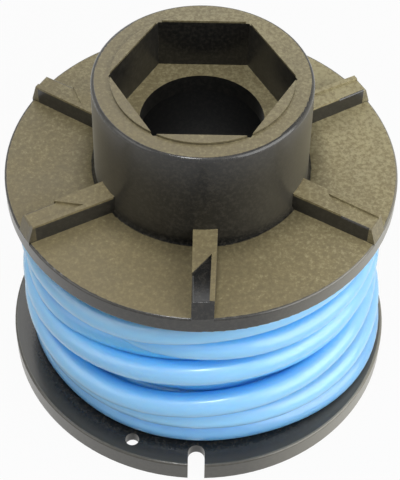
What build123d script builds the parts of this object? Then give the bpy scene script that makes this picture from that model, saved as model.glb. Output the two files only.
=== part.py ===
# Trimmer line spool: a black moulded spool with blue line wound on its barrel.
# Millimetres. Z runs up the spool axis, and the origin is the centre of the underside.
# The line notch in the lower flange points along -Y, and one of the ribs lies above it.
import os
from math import cos, radians, sin, sqrt, tan

from build123d import *

os.makedirs("parts", exist_ok=True)

# Barrel and flanges
barrel_diameter = 25.0
barrel_wall = 2.4
winding_gap = 25.6
upper_flange_diameter = 46.0
upper_flange_thickness = 2.4
lower_flange_diameter = 48.5
lower_flange_height = 2.9
lower_flange_web = 1.5
skirt_wall = 1.2
rim_round = 0.3

# Hub above the upper flange: a low collar on its top, a hexagon socket and a bore in the socket floor
hub_height = 13.6
hub_draft_angle = 0.6
hub_edge_round = 0.5
hub_root_round = 0.5
collar_diameter = 20.4
collar_height = 0.3
socket_sides = 6
socket_across_flats = 18.0
socket_depth = 6.7
socket_floor = 2.4
bore_diameter = 14.2

# Ribs on the upper flange: one side runs beside the radius, the other closes in towards the rim
rib_count = 6
rib_height = 2.5
rib_straight_side = 0.8
rib_root_width = 2.75
rib_tip_width = 2.45
rib_end_lean = 0.75
recess_length = 6.4
recess_slant = 2.7
recess_depth = 0.3
recess_lip = 0.55
recess_edge_round = 0.25

# Notch and hole in the lower flange, where the ends of the line are held
notch_azimuth = -90.0
notch_width = 2.05
notch_length = 2.9
line_hole_diameter = 1.7
line_hole_inset = 2.15
line_hole_azimuth = -111.0

# Wound line: turns of the outer layer from the bottom up. Levels are shares of the room for a turn
# between the flanges, and insets are the distances of the crests inside the upper flange rim.
# Each turn crosses from its left level to its right level between two azimuths at the front.
line_diameter = 3.0
winding_clearance = 0.1
turn_left_levels = (0.0, 0.13, 0.26, 0.36, 0.455, 0.59, 0.83)
turn_right_levels = (0.0, 0.19, 0.39, 0.505, 0.635, 0.755, 0.975)
turn_left_insets = (1.6, 1.3, 0.7, 2.9, 0.8, 1.4, 0.8)
turn_right_insets = (-0.6, -0.2, 0.6, 2.4, 0.8, 1.15, 0.9)
crossing_starts = (-85, -115, -130, -130, -160, -138, -140)
crossing_ends = (-25, -20, -25, -20, -60, -100, -75)
under_layer_inset = 3.5
groove_share = 0.03
groove_steepness = 2.0
groove_least_depth = 0.2
groove_floor_share = 0.8
shoulder_angle = 75.0
section_spacing = 9

# Levels along the axis
web_underside = lower_flange_height - lower_flange_web
upper_underside = lower_flange_height + winding_gap
upper_top = upper_underside + upper_flange_thickness
rib_foot = upper_top - rim_round
rib_top = upper_top + rib_height
hub_top = upper_top + hub_height
collar_top = hub_top + collar_height
socket_bottom = collar_top - socket_depth
floor_underside = socket_bottom - socket_floor

# Radii about the axis
barrel_radius = barrel_diameter / 2
cavity_radius = barrel_radius - barrel_wall
upper_radius = upper_flange_diameter / 2
lower_radius = lower_flange_diameter / 2
skirt_inner_radius = lower_radius - skirt_wall
hub_top_radius = barrel_radius - hub_height * tan(radians(hub_draft_angle))
collar_radius = collar_diameter / 2
bore_radius = bore_diameter / 2

# Where a rib begins, inside the hub wall, where its top ends and where the recess in its top begins
rib_start = barrel_radius - barrel_wall / 2
rib_reach = upper_radius + rib_end_lean
rib_end = upper_radius - rib_end_lean
recess_start = rib_end - recess_length


def closing_side(radius):
    """Distance of a rib's closing side from its radius line, at a radius along the rib."""
    share = (radius - barrel_radius) / (upper_radius - barrel_radius)
    return rib_root_width - rib_straight_side - share * (rib_root_width - rib_tip_width)


# One rib along +X: its plan, cut to the flange rim, and its side view with the leaning end.
# A shallow recess in its top starts on a slant, has a lip on the closing side and is open elsewhere.
with BuildPart() as drive_rib:
    with BuildSketch(Plane.XY.offset(rib_foot)):
        with BuildLine():
            Polyline(
                (rib_start, -rib_straight_side),
                (rib_reach, -rib_straight_side),
                (rib_reach, closing_side(rib_reach)),
                (rib_start, closing_side(rib_start)),
                close=True,
            )
        make_face()
        Circle(upper_radius, mode=Mode.INTERSECT)
    extrude(amount=rib_top - rib_foot)
    with BuildSketch(Plane.XZ):
        with BuildLine():
            Polyline(
                (rib_start, rib_foot),
                (upper_radius, rib_foot),
                (upper_radius, upper_top),
                (rib_end, rib_top),
                (rib_start, rib_top),
                close=True,
            )
        make_face()
    extrude(amount=rib_root_width, both=True, mode=Mode.INTERSECT)
    with BuildSketch(Plane.XY.offset(rib_top)):
        with BuildLine():
            Polyline(
                (recess_start, closing_side(recess_start) - recess_lip),
                (recess_start + recess_slant, -rib_straight_side),
                (rib_reach, -rib_straight_side),
                (rib_reach, closing_side(rib_reach) - recess_lip),
                close=True,
            )
        make_face()
    extrude(amount=-recess_depth, mode=Mode.SUBTRACT)
    recess_floor = drive_rib.faces().filter_by(Axis.Z).sort_by(Axis.Z)[-2]
    end_edge = recess_floor.edges().sort_by(Axis.X)[-1]
    side_edge = recess_floor.edges().sort_by(Axis.Y)[0]
    fillet((end_edge, side_edge), recess_edge_round)

# Spool body: barrel, both flanges and the hub are one turned section, open along the axis
with BuildPart() as spool_body:
    with BuildSketch(Plane.XZ) as section:
        with BuildLine():
            Polyline(
                (cavity_radius, 0),
                (barrel_radius, 0),
                (barrel_radius, web_underside),
                (skirt_inner_radius, web_underside),
                (skirt_inner_radius, 0),
                (lower_radius, 0),
                (lower_radius, lower_flange_height),
                (barrel_radius, lower_flange_height),
                (barrel_radius, upper_underside),
                (upper_radius, upper_underside),
                (upper_radius, upper_top),
                (barrel_radius, upper_top),
                (hub_top_radius, hub_top),
                (collar_radius, hub_top),
                (collar_radius, collar_top),
                (bore_radius, collar_top),
                (bore_radius, floor_underside),
                (cavity_radius, floor_underside),
                close=True,
            )
        make_face()
        fillet(section.vertices().sort_by_distance((lower_radius, lower_flange_height))[0], rim_round)
        fillet(section.vertices().sort_by_distance((upper_radius, upper_underside))[0], rim_round)
        fillet(section.vertices().sort_by_distance((upper_radius, upper_top))[0], rim_round)
        fillet(section.vertices().sort_by_distance((hub_top_radius, hub_top))[0], hub_edge_round)
        fillet(section.vertices().sort_by_distance((barrel_radius, upper_top))[0], hub_root_round)
    revolve(axis=Axis.Z)

    # Hexagon socket with corners on the X axis, which leaves the collar as a crescent beside each flat
    with BuildSketch(Plane.XY.offset(socket_bottom)):
        RegularPolygon(socket_across_flats / 2, socket_sides, major_radius=False)
    extrude(amount=socket_depth, mode=Mode.SUBTRACT)

    # Ribs, evenly round the hub
    with PolarLocations(0, rib_count, start_angle=notch_azimuth):
        add(drive_rib.part)

    # Notch through the skirt, round at its inner end, and the small line hole beside it
    with BuildSketch(Plane.XY):
        with PolarLocations(lower_radius, 1, start_angle=notch_azimuth):
            SlotOverall(2 * notch_length, notch_width)
        with PolarLocations(lower_radius - line_hole_inset, 1, start_angle=line_hole_azimuth):
            Circle(line_hole_diameter / 2)
    extrude(amount=lower_flange_height, mode=Mode.SUBTRACT)

# Room for the wound line: its ends, and the centre levels of the lowest and the highest turn
winding_bottom = lower_flange_height
winding_top = upper_underside - winding_clearance
winding_inner_radius = barrel_radius + winding_clearance
line_radius = line_diameter / 2
lowest_turn = winding_bottom + line_radius
highest_turn = winding_top - line_radius
turn_count = len(turn_left_levels)


def eased(share):
    """Change from 0 to 1 that starts and ends gently."""
    held = min(max(share, 0.0), 1.0)
    return held * held * (3 - 2 * held)


def turn_centre(turn, azimuth):
    """Radius and height of a turn's centre, from -180 at the left, round the front, to 180."""
    after = min(turn + 1, turn_count - 1)
    length = crossing_ends[turn] - crossing_starts[turn]
    front = eased((azimuth - crossing_starts[turn]) / length)
    level = turn_left_levels[turn] + front * (turn_right_levels[turn] - turn_left_levels[turn])
    inset = turn_left_insets[turn] + front * (turn_right_insets[turn] - turn_left_insets[turn])
    if turn < after:
        back = eased(azimuth / 180)
        level += back * (turn_left_levels[after] - turn_right_levels[turn])
        inset += back * (turn_left_insets[after] - turn_right_insets[turn])
    height = lowest_turn + level * (highest_turn - lowest_turn)
    return upper_radius - inset - line_radius, height


def shoulder_height(lower, upper):
    """How far from a turn's centre its round shows, towards a neighbouring turn."""
    full = line_radius * sin(radians(shoulder_angle))
    return min(full, (0.5 - groove_share) * (upper[1] - lower[1]))


def point_on_turn(centre, height):
    """Point on the outside of a turn, at a height above or below its centre."""
    return centre[0] + sqrt(line_radius**2 - height**2), centre[1] + height


def groove_floor(head, foot):
    """Both ends of a groove's floor, which deepens with its width, down to the layer below."""
    width = foot[1] - head[1]
    edge = min(head[0], foot[0])
    depth = max(edge - upper_radius + under_layer_inset, groove_least_depth)
    floor = edge - min(groove_steepness * width, depth)
    wall = width * (1 - groove_floor_share) / 2
    return (floor, head[1] + wall), (floor, foot[1] - wall)


# The wound line is lofted in two halves, front and back, through sections in planes through the axis
with BuildPart() as line_winding:
    for half_start in (-180, 0):
        for azimuth in range(half_start, half_start + 181, section_spacing):
            turns = [turn_centre(i, azimuth) for i in range(turn_count)]
            shoulders = [line_radius * sin(radians(shoulder_angle))]
            shoulders += [shoulder_height(*pair) for pair in zip(turns, turns[1:])]
            shoulders += shoulders[:1]
            feet = [point_on_turn(turns[i], -shoulders[i]) for i in range(turn_count)]
            heads = [point_on_turn(turns[i], shoulders[i + 1]) for i in range(turn_count)]
            foot_radius = feet[0][0] - (turns[0][1] - lowest_turn)
            feet += [(heads[-1][0], winding_top)]
            grooves = [groove_floor(heads[i], feet[i + 1]) for i in range(turn_count)]
            top_corner = (grooves[-1][0][0], winding_top)
            inner_top = (winding_inner_radius, winding_top)
            inner_bottom = (winding_inner_radius, winding_bottom)
            outward = (cos(radians(azimuth)), sin(radians(azimuth)), 0)
            sideways = (sin(radians(azimuth)), -cos(radians(azimuth)), 0)
            with BuildSketch(Plane((0, 0, 0), x_dir=outward, z_dir=sideways)):
                with BuildLine():
                    Polyline(inner_top, inner_bottom, (foot_radius, winding_bottom), feet[0])
                    for i in range(turn_count):
                        ThreePointArc(feet[i], point_on_turn(turns[i], 0), heads[i])
                    for i in range(turn_count - 1):
                        Polyline(heads[i], *grooves[i], feet[i + 1])
                    Polyline(heads[-1], grooves[-1][0], top_corner, inner_top)
                make_face()
        loft()

spool_body.part.label = "spool_body"
export_step(spool_body.part, "parts/spool_body.step")
line_winding.part.label = "line_winding"
export_step(line_winding.part, "parts/line_winding.step")
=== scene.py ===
import math

import bmesh
import bpy
from mathutils import Matrix, Vector


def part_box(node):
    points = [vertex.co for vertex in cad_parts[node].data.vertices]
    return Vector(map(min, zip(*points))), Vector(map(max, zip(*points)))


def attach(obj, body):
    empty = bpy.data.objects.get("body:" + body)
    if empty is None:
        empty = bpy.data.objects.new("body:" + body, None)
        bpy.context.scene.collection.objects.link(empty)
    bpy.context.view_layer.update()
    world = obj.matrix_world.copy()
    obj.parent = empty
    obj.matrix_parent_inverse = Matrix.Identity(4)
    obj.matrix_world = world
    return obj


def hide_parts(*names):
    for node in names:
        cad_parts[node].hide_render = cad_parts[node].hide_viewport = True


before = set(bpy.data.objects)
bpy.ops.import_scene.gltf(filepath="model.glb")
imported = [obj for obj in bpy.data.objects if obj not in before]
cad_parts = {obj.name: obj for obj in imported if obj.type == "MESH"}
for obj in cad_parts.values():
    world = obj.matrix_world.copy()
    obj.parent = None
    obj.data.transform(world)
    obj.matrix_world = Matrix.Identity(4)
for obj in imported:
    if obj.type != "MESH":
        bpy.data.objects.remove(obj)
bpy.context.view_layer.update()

# Spool body: one piece with barrel, two flanges, six drive ribs and a hub. It is injection moulded
# in black nylon with a fine sparked grain. Garden dust lies on what looks up above the winding,
# its pale tan partly painted top light, and the recess of the front rib, which rubs in the trimmer
# head, is bare.
MM = 0.001
NYLON_BLACK = "#131312"
NYLON_BLOOM = "#2a2824"
RIM_GREY = "#8c887a"
FILM_GREY = "#3d3b36"
# The pale film colour is painted light, where more light falls from the right.
FILM_PAINTED_LIGHT = "#504d45"
# This tan is a painted sheen on the walls that face sideways.
WALL_SHEEN_TAN = "#5f5b4f"
# The dust colours are tan dust whose paleness is partly painted top light.
DUST_AND_SHEEN_PALE = "#a19874"
DUST_AND_SHEEN_MID = "#837856"
DUST_AND_SHEEN_DEEP = "#74694b"
SHEEN_CREAM = "#fffcf1"
NYLON_IOR = 1.53
NYLON_SHINE = 0.5
# The grain and the dust specks are really finer, and are drawn coarse enough to show
GRAIN_SIZE = 0.35 * MM
GRAIN_DEPTH = 0.04 * MM
SPECKLE_SIZE = 0.45 * MM
DUST_PATCH_SIZE = 6.0 * MM
# Heights on the body
LOWER_FLANGE_BELOW = 10 * MM
UPPER_FLANGE_ABOVE = 20 * MM
# The dust with its painted top light lies above this height. Below it, the lower flange is left
# dark as painted shade.
DUST_AND_SHEEN_FROM_HEIGHT = 29.0 * MM
UPPER_TOP = 30.9 * MM
RIB_TOP = 33.4 * MM
HUB_TOP = 44.5 * MM
# Radii on the body
SOCKET_RADIUS = 11 * MM
HUB_RADIUS = 12.6 * MM
# Between these two radii, the film on the lower flange is painted thinner towards the winding, as
# painted shade beside it.
WINDING_SHADE_RADIUS = 21.7 * MM
UPPER_RIM_RADIUS = 22.75 * MM
FILM_PAST_SHADE_RADIUS = 23.4 * MM
LOWER_RIM_RADIUS = 23.9 * MM
# Shares of dust with painted top light, of wear, and of painted light and shade, where 1 covers
# the nylon
# At the hub's foot the dust is thinned by this share, as painted shade in the corner.
FOOT_SHADE = 0.5
FOOT_WIDTH = 3 * MM
# The dust on the rib edges is partly painted light that lifts the shade off the recess walls.
RIB_EDGE_DUST_AND_LIGHT = 0.95
HUB_EDGE_DUST_AND_SHEEN = 0.7
# The dust on the rib ends other than the front one is partly painted light on those ends.
RIB_END_DUST_AND_LIGHT = 0.65
HUB_TOP_DUST_AND_SHEEN = 0.78
THIN_DUST_AND_SHEEN = 0.82
LOWER_RIM_WEAR = 0.16
UPPER_RIM_WEAR = 0.03
# The rims are painted paler to the right by this share, as painted light from that side.
RIGHT_RIM_PAINTED_LIGHT = 0.6
# Walls that face sideways take this much of a painted sheen.
WALL_PAINTED_SHEEN = 0.55
# The dust is painted paler to the right and to the back by this much of its range per metre:
# heavier dust on the right, and painted light on the right and at the back
DUST_AND_LIGHT_DRIFT = (4.0, 6.0, 0.0)
WALL_ROUGHNESS = 0.3
TOP_ROUGHNESS = 0.2
DUST_ROUGHNESS = 0.6


def linear(hex_colour):
    """A hex sRGB colour as the linear colour that a shader's socket takes."""
    values = [int(hex_colour[i:i + 2], 16) / 255 for i in (1, 3, 5)]
    return [v / 12.92 if v <= 0.04045 else ((v + 0.055) / 1.055) ** 2.4 for v in values] + [1.0]


def add_node(tree, kind, inputs=None, **settings):
    """Adds a node with its settings, and gives each named input a value or a link."""
    node = tree.nodes.new(kind)
    for name, value in settings.items():
        setattr(node, name, value)
    for name, value in (inputs or {}).items():
        if isinstance(value, bpy.types.NodeSocket):
            tree.links.new(value, node.inputs[name])
        else:
            node.inputs[name].default_value = value
    return node


def new_material(name):
    """An empty material and its node tree."""
    material = bpy.data.materials.new(name)
    material.use_nodes = True
    material.node_tree.nodes.clear()
    return material, material.node_tree


# Nylon moulding, used: black, half glossy and finely mottled where bare, with a painted sheen on
# the walls that face sideways, scuffed grey at the rims, and matt, speckled tan where dust has
# settled, its paleness partly painted top light. Painted light from the right and painted shade
# beside the winding and at the hub's foot are mixed in too.
nylon, tree = new_material("moulded_black_nylon_dust_and_painted_light")
place = add_node(tree, "ShaderNodeTexCoord")
facing = add_node(tree, "ShaderNodeSeparateXYZ", {"Vector": place.outputs["Normal"]})
where = add_node(tree, "ShaderNodeSeparateXYZ", {"Vector": place.outputs["Object"]})
across = add_node(tree, "ShaderNodeCombineXYZ", {
    "X": where.outputs["X"], "Y": where.outputs["Y"]})
radius = add_node(tree, "ShaderNodeVectorMath", {0: across.outputs["Vector"]}, operation="LENGTH")
patches = add_node(tree, "ShaderNodeTexNoise", {
    "Vector": place.outputs["Object"], "Scale": 1 / DUST_PATCH_SIZE,
    "Detail": 5.0, "Roughness": 0.62})
speckle = add_node(tree, "ShaderNodeTexNoise", {
    "Vector": place.outputs["Object"], "Scale": 1 / SPECKLE_SIZE,
    "Detail": 3.0, "Roughness": 0.7})
grain = add_node(tree, "ShaderNodeTexNoise", {
    "Vector": place.outputs["Object"], "Scale": 1 / GRAIN_SIZE,
    "Detail": 2.0, "Roughness": 0.5})

# Worn and shaded places: the recess of the front rib, rubbed bare, and the foot of the hub, where
# the dust is thinned by up to half as painted shade in the corner
on_rib = add_node(tree, "ShaderNodeMath", {
    0: where.outputs["Z"], 1: UPPER_TOP + 1.5 * MM}, operation="GREATER_THAN")
below_rib_top = add_node(tree, "ShaderNodeMapRange", {
    "Value": where.outputs["Z"],
    "From Min": RIB_TOP - 0.10 * MM, "From Max": RIB_TOP - 0.04 * MM,
    "To Min": 1.0, "To Max": 0.0})
at_front = add_node(tree, "ShaderNodeMapRange", {
    "Value": where.outputs["Y"], "From Min": -14 * MM, "From Max": -12 * MM,
    "To Min": 1.0, "To Max": 0.0})
rib_dip = add_node(tree, "ShaderNodeMath", {
    0: on_rib.outputs["Value"], 1: below_rib_top.outputs["Result"]}, operation="MULTIPLY")
recess = add_node(tree, "ShaderNodeMath", {
    0: rib_dip.outputs["Value"], 1: at_front.outputs["Result"]}, operation="MULTIPLY")
# Painted shade: the dust thins towards the hub's foot.
by_hub = add_node(tree, "ShaderNodeMapRange", {
    "Value": radius.outputs["Value"],
    "From Min": HUB_RADIUS, "From Max": HUB_RADIUS + FOOT_WIDTH,
    "To Min": FOOT_SHADE, "To Max": 0.0})
low_down = add_node(tree, "ShaderNodeMapRange", {
    "Value": where.outputs["Z"],
    "From Min": UPPER_TOP + 0.4 * MM, "From Max": UPPER_TOP + 1.2 * MM,
    "To Min": 1.0, "To Max": 0.0})
outside_hub = add_node(tree, "ShaderNodeMath", {
    0: radius.outputs["Value"], 1: HUB_RADIUS - 0.8 * MM}, operation="GREATER_THAN")
low_outside = add_node(tree, "ShaderNodeMath", {
    0: low_down.outputs["Result"], 1: outside_hub.outputs["Value"]}, operation="MULTIPLY")
hub_foot_shade = add_node(tree, "ShaderNodeMath", {
    0: by_hub.outputs["Result"], 1: low_outside.outputs["Value"]}, operation="MULTIPLY")
wear_and_foot_shade = add_node(tree, "ShaderNodeMath", {
    0: recess.outputs["Value"], 1: hub_foot_shade.outputs["Value"]}, operation="MAXIMUM")
unworn_unshaded = add_node(tree, "ShaderNodeMath", {
    0: 1.0, 1: wear_and_foot_shade.outputs["Value"]}, operation="SUBTRACT")

# Dust, its paleness partly painted top light: on what looks up above the winding, over the edges
# of the ribs and the hub, and on all rib ends but the front. It is left off below the winding, so
# the lower flange stays dark as painted shade. On the rib edges it also lifts the shade off the
# recess walls, and on the rib ends but the front it is partly painted light.
upward = add_node(tree, "ShaderNodeMapRange", {
    "Value": facing.outputs["Z"], "From Min": 0.94, "From Max": 0.995},
    interpolation_type="SMOOTHSTEP")
above_winding = add_node(tree, "ShaderNodeMath", {
    0: where.outputs["Z"], 1: DUST_AND_SHEEN_FROM_HEIGHT}, operation="GREATER_THAN")
past_hub = add_node(tree, "ShaderNodeMath", {
    0: radius.outputs["Value"], 1: HUB_RADIUS}, operation="GREATER_THAN")
rib_edge_dust_and_light = add_node(tree, "ShaderNodeMapRange", {
    "Value": where.outputs["Z"],
    "From Min": RIB_TOP - 0.34 * MM, "From Max": RIB_TOP - 0.27 * MM,
    "To Max": RIB_EDGE_DUST_AND_LIGHT})
rib_edge_out = add_node(tree, "ShaderNodeMath", {
    0: rib_edge_dust_and_light.outputs["Result"], 1: past_hub.outputs["Value"]}, operation="MULTIPLY")
hub_edge = add_node(tree, "ShaderNodeMapRange", {
    "Value": where.outputs["Z"], "From Min": HUB_TOP, "From Max": HUB_TOP + 0.1 * MM,
    "To Max": HUB_EDGE_DUST_AND_SHEEN})
top_edge = add_node(tree, "ShaderNodeMath", {
    0: rib_edge_out.outputs["Value"], 1: hub_edge.outputs["Result"]}, operation="MAXIMUM")
past_rib_top = add_node(tree, "ShaderNodeMath", {
    0: radius.outputs["Value"], 1: UPPER_RIM_RADIUS - 0.7 * MM}, operation="GREATER_THAN")
above_flange = add_node(tree, "ShaderNodeMath", {
    0: where.outputs["Z"], 1: UPPER_TOP + 0.1 * MM}, operation="GREATER_THAN")
rib_end = add_node(tree, "ShaderNodeMath", {
    0: past_rib_top.outputs["Value"], 1: above_flange.outputs["Value"]}, operation="MULTIPLY")
not_front = add_node(tree, "ShaderNodeMath", {
    0: RIB_END_DUST_AND_LIGHT, 1: at_front.outputs["Result"]}, operation="SUBTRACT")
rib_end_dust_and_light = add_node(tree, "ShaderNodeMath", {
    0: rib_end.outputs["Value"], 1: not_front.outputs["Value"]}, operation="MULTIPLY")
edge_dust_and_light = add_node(tree, "ShaderNodeMath", {
    0: top_edge.outputs["Value"], 1: rib_end_dust_and_light.outputs["Value"]}, operation="MAXIMUM")
lying_dust_and_sheen = add_node(tree, "ShaderNodeMath", {
    0: upward.outputs["Result"], 1: above_winding.outputs["Value"]}, operation="MULTIPLY")
settled_dust_and_sheen = add_node(tree, "ShaderNodeMath", {
    0: lying_dust_and_sheen.outputs["Value"], 1: edge_dust_and_light.outputs["Value"]}, operation="MAXIMUM")
kept_dust_and_sheen = add_node(tree, "ShaderNodeMath", {
    0: settled_dust_and_sheen.outputs["Value"], 1: unworn_unshaded.outputs["Value"]}, operation="MULTIPLY")
thickness = add_node(tree, "ShaderNodeMapRange", {
    "Value": patches.outputs["Fac"], "From Min": 0.3, "From Max": 0.7,
    "To Min": THIN_DUST_AND_SHEEN, "To Max": 1.0})
thick_dust_and_sheen = add_node(tree, "ShaderNodeMath", {
    0: kept_dust_and_sheen.outputs["Value"], 1: thickness.outputs["Result"]}, operation="MULTIPLY")
thinner = add_node(tree, "ShaderNodeMapRange", {
    "Value": where.outputs["Z"], "From Min": HUB_TOP - 2 * MM, "From Max": HUB_TOP,
    "To Min": 1.0, "To Max": HUB_TOP_DUST_AND_SHEEN})
dust_and_sheen_cover = add_node(tree, "ShaderNodeMath", {
    0: thick_dust_and_sheen.outputs["Value"], 1: thinner.outputs["Result"]}, operation="MULTIPLY")

# Worn rims of the two flanges, painted paler on the right as painted light from that side
rim_start = add_node(tree, "ShaderNodeMapRange", {
    "Value": where.outputs["Z"],
    "From Min": LOWER_FLANGE_BELOW, "From Max": UPPER_FLANGE_ABOVE,
    "To Min": LOWER_RIM_RADIUS, "To Max": UPPER_RIM_RADIUS})
past_rim = add_node(tree, "ShaderNodeMath", {
    0: radius.outputs["Value"], 1: rim_start.outputs["Result"]}, operation="GREATER_THAN")
below_ribs = add_node(tree, "ShaderNodeMath", {
    0: where.outputs["Z"], 1: UPPER_TOP + 0.05 * MM}, operation="LESS_THAN")
rim = add_node(tree, "ShaderNodeMath", {
    0: past_rim.outputs["Value"], 1: below_ribs.outputs["Value"]}, operation="MULTIPLY")
rim_wear = add_node(tree, "ShaderNodeMapRange", {
    "Value": where.outputs["Z"],
    "From Min": LOWER_FLANGE_BELOW, "From Max": UPPER_FLANGE_ABOVE,
    "To Min": LOWER_RIM_WEAR, "To Max": UPPER_RIM_WEAR})
# Painted light from the right: the film and the rims grow paler towards that side.
painted_light_right = add_node(tree, "ShaderNodeMapRange", {
    "Value": where.outputs["X"], "From Min": 6 * MM, "From Max": 22 * MM})
rim_wear_and_light = add_node(tree, "ShaderNodeMath", {
    0: painted_light_right.outputs["Result"], 1: RIGHT_RIM_PAINTED_LIGHT, 2: rim_wear.outputs["Result"]},
    operation="MULTIPLY_ADD")
rim_worn_and_lit = add_node(tree, "ShaderNodeMath", {
    0: rim.outputs["Value"], 1: rim_wear_and_light.outputs["Value"]}, operation="MULTIPLY")

# Colour, from the bare nylon up: mottling, a painted sheen on the walls that face sideways, a grey
# film with painted light on the right and painted shade beside the winding, the worn rims with
# painted light on the right, and the dust with its painted top light
blotches = add_node(tree, "ShaderNodeMapRange", {
    "Value": speckle.outputs["Fac"], "From Min": 0.42, "From Max": 0.66},
    interpolation_type="SMOOTHSTEP")
clean = add_node(tree, "ShaderNodeMix", {
    "Factor": blotches.outputs["Result"],
    "A": linear(NYLON_BLACK), "B": linear(NYLON_BLOOM)}, data_type="RGBA")
# Painted sheen: the walls that face sideways are painted paler.
sideways = add_node(tree, "ShaderNodeMath", {
    0: facing.outputs["X"], 1: facing.outputs["X"]}, operation="MULTIPLY")
past_socket = add_node(tree, "ShaderNodeMapRange", {
    "Value": radius.outputs["Value"],
    "From Min": SOCKET_RADIUS, "From Max": SOCKET_RADIUS + 0.5 * MM, "To Max": WALL_PAINTED_SHEEN})
painted_wall_sheen = add_node(tree, "ShaderNodeMath", {
    0: sideways.outputs["Value"], 1: past_socket.outputs["Result"]}, operation="MULTIPLY")
bare_with_painted_sheen = add_node(tree, "ShaderNodeMix", {
    "Factor": painted_wall_sheen.outputs["Value"],
    "A": clean.outputs["Result"], "B": linear(WALL_SHEEN_TAN)}, data_type="RGBA")
# Painted shade: the film on the lower flange thins towards the winding.
past_winding_shade = add_node(tree, "ShaderNodeMapRange", {
    "Value": radius.outputs["Value"], "From Min": WINDING_SHADE_RADIUS, "From Max": FILM_PAST_SHADE_RADIUS})
film_past_shade = add_node(tree, "ShaderNodeMath", {
    0: past_winding_shade.outputs["Result"], 1: above_winding.outputs["Value"]}, operation="MAXIMUM")
upward_film_past_shade = add_node(tree, "ShaderNodeMath", {
    0: upward.outputs["Result"], 1: film_past_shade.outputs["Value"]}, operation="MULTIPLY")
film_cover_past_shade = add_node(tree, "ShaderNodeMath", {
    0: upward_film_past_shade.outputs["Value"], 1: unworn_unshaded.outputs["Value"]}, operation="MULTIPLY")
film_and_light = add_node(tree, "ShaderNodeMix", {
    "Factor": painted_light_right.outputs["Result"],
    "A": linear(FILM_GREY), "B": linear(FILM_PAINTED_LIGHT)}, data_type="RGBA")
filmed_light_and_shade = add_node(tree, "ShaderNodeMix", {
    "Factor": film_cover_past_shade.outputs["Value"],
    "A": bare_with_painted_sheen.outputs["Result"], "B": film_and_light.outputs["Result"]}, data_type="RGBA")
scuffed_and_lit = add_node(tree, "ShaderNodeMix", {
    "Factor": rim_worn_and_lit.outputs["Value"],
    "A": filmed_light_and_shade.outputs["Result"], "B": linear(RIM_GREY)}, data_type="RGBA")
# Painted light: the dust pales to the right and to the back, where more light falls.
dust_and_light_drift = add_node(tree, "ShaderNodeVectorMath", {
    0: place.outputs["Object"], 1: DUST_AND_LIGHT_DRIFT}, operation="DOT_PRODUCT")
dust_and_sheen_tone = add_node(tree, "ShaderNodeMath", {
    0: speckle.outputs["Fac"], 1: dust_and_light_drift.outputs["Value"]}, operation="ADD")
dust_and_sheen = add_node(tree, "ShaderNodeValToRGB", {"Fac": dust_and_sheen_tone.outputs["Value"]})
dust_and_sheen.color_ramp.elements[0].position = 0.3
dust_and_sheen.color_ramp.elements[0].color = linear(DUST_AND_SHEEN_DEEP)
dust_and_sheen.color_ramp.elements[1].position = 0.7
dust_and_sheen.color_ramp.elements[1].color = linear(DUST_AND_SHEEN_PALE)
dust_and_sheen.color_ramp.elements.new(0.5).color = linear(DUST_AND_SHEEN_MID)
base = add_node(tree, "ShaderNodeMix", {
    "Factor": dust_and_sheen_cover.outputs["Value"],
    "A": scuffed_and_lit.outputs["Result"], "B": dust_and_sheen.outputs["Color"]}, data_type="RGBA")

# Gloss: half glossy where bare, dull in the fillet at the hub's foot, and matt under dust
bare_gloss = add_node(tree, "ShaderNodeMapRange", {
    "Value": facing.outputs["Z"], "From Min": 0.1, "From Max": 0.5,
    "To Min": WALL_ROUGHNESS, "To Max": TOP_ROUGHNESS})
dull_foot = add_node(tree, "ShaderNodeMath", {
    0: bare_gloss.outputs["Result"], 1: hub_foot_shade.outputs["Value"]}, operation="MAXIMUM")
gloss = add_node(tree, "ShaderNodeMapRange", {
    "Value": dust_and_sheen_cover.outputs["Value"],
    "To Min": dull_foot.outputs["Value"], "To Max": DUST_ROUGHNESS})
foot_shine = add_node(tree, "ShaderNodeMath", {
    0: NYLON_SHINE, 1: hub_foot_shade.outputs["Value"]}, operation="SUBTRACT")
bump = add_node(tree, "ShaderNodeBump", {
    "Height": grain.outputs["Fac"], "Strength": 0.15, "Distance": GRAIN_DEPTH})
surface = add_node(tree, "ShaderNodeBsdfPrincipled", {
    "Base Color": base.outputs["Result"], "Roughness": gloss.outputs["Result"],
    "Normal": bump.outputs["Normal"], "IOR": NYLON_IOR,
    "Specular IOR Level": foot_shine.outputs["Value"],
    "Sheen Weight": 0.18, "Sheen Roughness": 0.25, "Sheen Tint": linear(SHEEN_CREAM)})
add_node(tree, "ShaderNodeOutputMaterial", {"Surface": surface.outputs["BSDF"]})

spool_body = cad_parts["spool_body"]
spool_body.data.materials.clear()
spool_body.data.materials.append(nylon)

# Wound line: one length of round blue nylon trimmer line, extruded and wound on by hand.
# Two layers lie close on the barrel. The outer turns are wound up over them from the bottom, level
# at the back and climbing across the front. The cut end lies at the back left, under the flange.
LINE_BLUE = "#8fc9f0"
# The second blue is painted shade: a deeper blue for the turns nearer the barrel, in the grooves.
LINE_PAINTED_GROOVE_SHADE = "#6cc3ff"
# The third blue is painted shade on the lowest turn, which the turns above shade.
LINE_PAINTED_LOW_SHADE = "#6ba8d6"
GROOVE_SHADE_RADIUS = 20.3 * MM
CREST_RADIUS = 21.6 * MM
LOW_SHADE_BELOW = 4.5 * MM
UNSHADED_ABOVE = 6.5 * MM
POINTS_PER_TURN = 24
# The route is given in millimetres, at the line's centre
LINE_RADIUS = 1.5
FIRST_LAYER = 14.1
SECOND_LAYER = 17.7
winding_low, winding_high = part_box("line_winding")
lowest = winding_low.z / MM + LINE_RADIUS
highest = winding_high.z / MM - LINE_RADIUS
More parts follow.
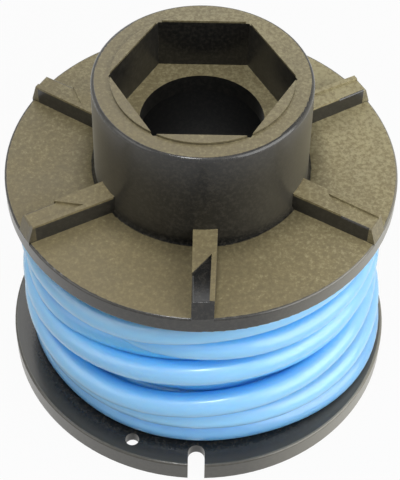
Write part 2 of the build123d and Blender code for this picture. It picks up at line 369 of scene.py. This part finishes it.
# Each stop of the line: its azimuth in degrees, the radius of its centre and its height
stops = [
    (-5584, FIRST_LAYER, lowest), (-2920, FIRST_LAYER, highest),
    (-2830, SECOND_LAYER, highest), (-300, SECOND_LAYER, lowest), (-240, 18.6, lowest),
]
# The outer turns from the bottom up, each from the left (-180) by the front (-90) to the back (90)
outer_turns = [
    [(-180, 20.5, lowest), (-140, 19.7, lowest), (-95, 19.8, lowest), (-70, 19.95, lowest),
     (-55, 20.6, lowest), (-40, 21.6, lowest), (-25, 22.2, lowest), (20, 22.0, lowest),
     (60, 21.6, 5.2), (120, 20.7, 6.6)],
    [(-180, 20.3, 7.4), (-120, 20.0, 7.4), (-90, 20.3, 7.9), (-75, 20.5, 8.1), (-60, 20.9, 8.1),
     (-40, 21.6, 8.5), (0, 21.7, 8.7), (60, 21.5, 9.1), (120, 21.0, 9.8)],
    [(-180, 20.8, 10.3), (-125, 20.9, 10.1), (-110, 20.9, 10.4), (-90, 20.9, 11.3),
     (-75, 21.0, 12.0), (-60, 21.1, 12.3), (-35, 21.0, 13.0), (0, 20.8, 13.2),
     (60, 20.3, 13.0), (120, 19.2, 12.7)],
    [(-180, 18.9, 12.5), (-130, 18.7, 12.8), (-105, 18.4, 13.6), (-90, 18.4, 14.2),
     (-75, 18.6, 14.8), (-55, 19.4, 15.4), (-30, 20.0, 15.7), (0, 19.8, 15.8),
     (60, 19.7, 15.5), (120, 20.3, 14.9)],
    [(-180, 20.7, 14.7), (-155, 20.7, 14.6), (-120, 20.8, 16.5), (-90, 20.8, 17.9),
     (-50, 20.8, 18.8), (0, 20.6, 18.7), (60, 20.5, 18.4), (120, 20.3, 17.9)],
    [(-180, 20.1, 17.7), (-150, 20.1, 17.7), (-135, 19.9, 18.4), (-120, 18.7, 18.6),
     (-90, 18.5, 19.8), (-60, 18.0, 20.2), (0, 17.4, 21.5), (60, 17.4, 24.0), (120, 17.2, 25.8)],
    [(-180, 17.0, 26.2), (-150, 17.0, 25.8), (-135, 17.6, 23.8), (-120, 19.2, 21.3),
     (-100, 19.9, 21.9), (-90, 20.2, 22.1), (-70, 20.4, 21.9), (-45, 20.4, 21.5),
     (0, 20.3, 21.3), (60, 20.4, 21.8), (120, 20.6, 22.6)],
    [(-180, 20.6, 23.1), (-150, 20.6, 23.2), (-125, 20.7, 23.7), (-110, 20.8, 24.5),
     (-90, 20.7, 26.0), (-75, 20.6, 26.4), (0, 20.5, 26.3), (120, 20.5, 26.3),
     (176, 20.2, 26.3)],
]
for turn, outer_turn in enumerate(outer_turns):
    stops += [(360 * turn + azimuth, r, z) for azimuth, r, z in outer_turn]

curve = bpy.data.curves.new("line_route", "CURVE")
curve.dimensions = "3D"
curve.bevel_depth = LINE_RADIUS * MM
curve.bevel_resolution = 10
curve.resolution_u = 4
curve.use_fill_caps = True
route = curve.splines.new("NURBS")
step = 360 / POINTS_PER_TURN
# A cubic spline runs inside its control points by this share of their radius
inside = (2 + math.cos(math.radians(step))) / 3
count = int((stops[-1][0] - stops[0][0]) / step) + 1
route.points.add(count - 1)
leg = 0
for index, point in enumerate(route.points):
    azimuth = stops[0][0] + index * step
    while leg < len(stops) - 2 and azimuth > stops[leg + 1][0]:
        leg += 1
    (a0, r0, z0), (a1, r1, z1) = stops[leg], stops[leg + 1]
    share = (azimuth - a0) / (a1 - a0)
    r = (r0 + share * (r1 - r0)) / inside
    z = z0 + share * (z1 - z0)
    angle = math.radians(azimuth)
    point.co = (r * math.cos(angle) * MM, r * math.sin(angle) * MM, z * MM, 1.0)
route.order_u = 4
route.use_endpoint_u = True
route.use_smooth = True
route_object = bpy.data.objects.new("line_route", curve)
bpy.context.scene.collection.objects.link(route_object)
bpy.context.view_layer.update()
depsgraph = bpy.context.evaluated_depsgraph_get()
strand = bpy.data.meshes.new_from_object(route_object.evaluated_get(depsgraph))
bpy.data.objects.remove(route_object)
bpy.data.curves.remove(curve)
wound_line = bpy.data.objects.new("wound_line", strand)
bpy.context.scene.collection.objects.link(wound_line)

# Extruded nylon, light blue and milky: light soaks in under a smooth skin with soft glints. A
# deeper blue is painted on the turns nearer the barrel as painted shade in the grooves, and the
# lowest turn, which lies on the flange, is painted darker as painted shade.
line_nylon, tree = new_material("extruded_blue_nylon_line")
place = add_node(tree, "ShaderNodeTexCoord")
where = add_node(tree, "ShaderNodeSeparateXYZ", {"Vector": place.outputs["Object"]})
# Painted shade: the lowest turn is painted darker.
above_low_shade = add_node(tree, "ShaderNodeMapRange", {
    "Value": where.outputs["Z"], "From Min": LOW_SHADE_BELOW, "From Max": UNSHADED_ABOVE})
across = add_node(tree, "ShaderNodeCombineXYZ", {
    "X": where.outputs["X"], "Y": where.outputs["Y"]})
radius = add_node(tree, "ShaderNodeVectorMath", {0: across.outputs["Vector"]}, operation="LENGTH")
# Painted shade: the blue deepens on the turns nearer the barrel.
out_of_groove_shade = add_node(tree, "ShaderNodeMapRange", {
    "Value": radius.outputs["Value"], "From Min": GROOVE_SHADE_RADIUS, "From Max": CREST_RADIUS})
groove_shaded_blue = add_node(tree, "ShaderNodeMix", {
    "Factor": out_of_groove_shade.outputs["Result"],
    "A": linear(LINE_PAINTED_GROOVE_SHADE), "B": linear(LINE_BLUE)}, data_type="RGBA")
blue = add_node(tree, "ShaderNodeMix", {
    "Factor": above_low_shade.outputs["Result"],
    "A": linear(LINE_PAINTED_LOW_SHADE), "B": groove_shaded_blue.outputs["Result"]}, data_type="RGBA")
surface = add_node(tree, "ShaderNodeBsdfPrincipled", {
    "Base Color": blue.outputs["Result"], "Roughness": 0.36, "IOR": NYLON_IOR,
    "Coat Weight": 0.5, "Coat Roughness": 0.14, "Coat IOR": 1.5,
    "Subsurface Weight": 1.0, "Subsurface Radius": (0.6, 0.8, 0.9),
    "Subsurface Scale": 1.1 * MM})
add_node(tree, "ShaderNodeOutputMaterial", {"Surface": surface.outputs["BSDF"]})
wound_line.data.materials.append(line_nylon)
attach(wound_line, "root")
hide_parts("line_winding")

# Studio: a plain white floor, a large softbox low at the right, a small lamp high at the front
# left, weaker softboxes at the front, left and back, and even white fill. The camera and
# reflections see the floor and the surroundings white, and the floor keeps a faint shadow.
WHITE = "#ffffff"
FLOOR_GREY = "#b3b3b3"
FLOOR_REACH = 1.5
FLOOR_WHITE_SHARE = 0.95
FILL_LEVEL = 0.22
SEEN_LEVEL = 1.0
SPOOL_MIDDLE = Vector((0, 0, 0.02))


def seen_rays(tree):
    """A socket that is 1 for the rays that see a surface directly, reflected or through glass."""
    ray = add_node(tree, "ShaderNodeLightPath")
    seen = add_node(tree, "ShaderNodeMath", {
        0: ray.outputs["Is Camera Ray"], 1: ray.outputs["Is Glossy Ray"]}, operation="MAXIMUM")
    seen_or_through = add_node(tree, "ShaderNodeMath", {
        0: seen.outputs["Value"], 1: ray.outputs["Is Transmission Ray"]}, operation="MAXIMUM")
    return seen_or_through.outputs["Value"]


# Paper, matt: a plain white ground that takes a soft, faint shadow
paper, tree = new_material("white_paper_floor")
white_share = add_node(tree, "ShaderNodeMath", {
    0: seen_rays(tree), 1: FLOOR_WHITE_SHARE}, operation="MULTIPLY")
matt = add_node(tree, "ShaderNodeBsdfDiffuse", {"Color": linear(FLOOR_GREY)})
white = add_node(tree, "ShaderNodeEmission", {"Color": linear(WHITE), "Strength": SEEN_LEVEL})
surface = add_node(tree, "ShaderNodeMixShader", {
    0: white_share.outputs["Value"], 1: matt.outputs["BSDF"], 2: white.outputs["Emission"]})
add_node(tree, "ShaderNodeOutputMaterial", {"Surface": surface.outputs["Shader"]})

floor_mesh = bpy.data.meshes.new("floor")
floor_form = bmesh.new()
bmesh.ops.create_grid(floor_form, x_segments=1, y_segments=1, size=FLOOR_REACH)
floor_form.to_mesh(floor_mesh)
floor_form.free()
floor = bpy.data.objects.new("floor", floor_mesh)
bpy.context.scene.collection.objects.link(floor)
floor_mesh.materials.append(paper)


def hang_lamp(name, size, energy, location):
    """A square area lamp that faces the middle of the spool."""
    lamp = bpy.data.lights.new(name, "AREA")
    lamp.shape = "SQUARE"
    lamp.size = size
    lamp.energy = energy
    holder = bpy.data.objects.new(name, lamp)
    holder.visible_camera = False
    holder.location = location
    holder.rotation_euler = (SPOOL_MIDDLE - holder.location).to_track_quat("-Z", "Y").to_euler()
    bpy.context.scene.collection.objects.link(holder)


hang_lamp("overhead_lamp", 0.07, 0.56, (-0.06, -0.15, 0.5))
hang_lamp("front_softbox", 0.4, 0.26, (0.05, -0.22, 0.42))
hang_lamp("right_softbox", 0.3, 1.0, (0.24, -0.13, 0.12))
hang_lamp("left_softbox", 0.16, 0.11, (-0.2, -0.08, 0.15))
hang_lamp("back_softbox", 0.3, 0.36, (-0.12, 0.22, 0.35))

world = bpy.data.worlds.new("studio")
bpy.context.scene.world = world
world.use_nodes = True
tree = world.node_tree
tree.nodes.clear()
level = add_node(tree, "ShaderNodeMapRange", {
    "Value": seen_rays(tree), "To Min": FILL_LEVEL, "To Max": SEEN_LEVEL})
sky = add_node(tree, "ShaderNodeBackground", {
    "Strength": level.outputs["Result"], "Color": linear(WHITE)})
add_node(tree, "ShaderNodeOutputWorld", {"Surface": sky.outputs["Background"]})

# Camera: in front of the notch in the lower flange, looking down at about 50 degrees.
# It has the slight tilt of the photo, and its lens gives the photo's perspective.
CAMERA_PLACE = (0.0, -0.1121, 0.1508)
CAMERA_DOWN = 0.8745
CAMERA_TILT = 0.0173
camera_data = bpy.data.cameras.new("camera")
camera_data.sensor_fit = "VERTICAL"
camera_data.sensor_height = 36.0
camera_data.lens = 104.8
camera_data.clip_start = 0.01
camera = bpy.data.objects.new("camera", camera_data)
camera.matrix_world = (Matrix.Translation(CAMERA_PLACE)
                       @ Matrix.Rotation(math.pi / 2 - CAMERA_DOWN, 4, "X")
                       @ Matrix.Rotation(CAMERA_TILT, 4, "Z"))
bpy.context.scene.collection.objects.link(camera)
bpy.context.scene.camera = camera
bpy.context.scene.view_settings.view_transform = "Standard"
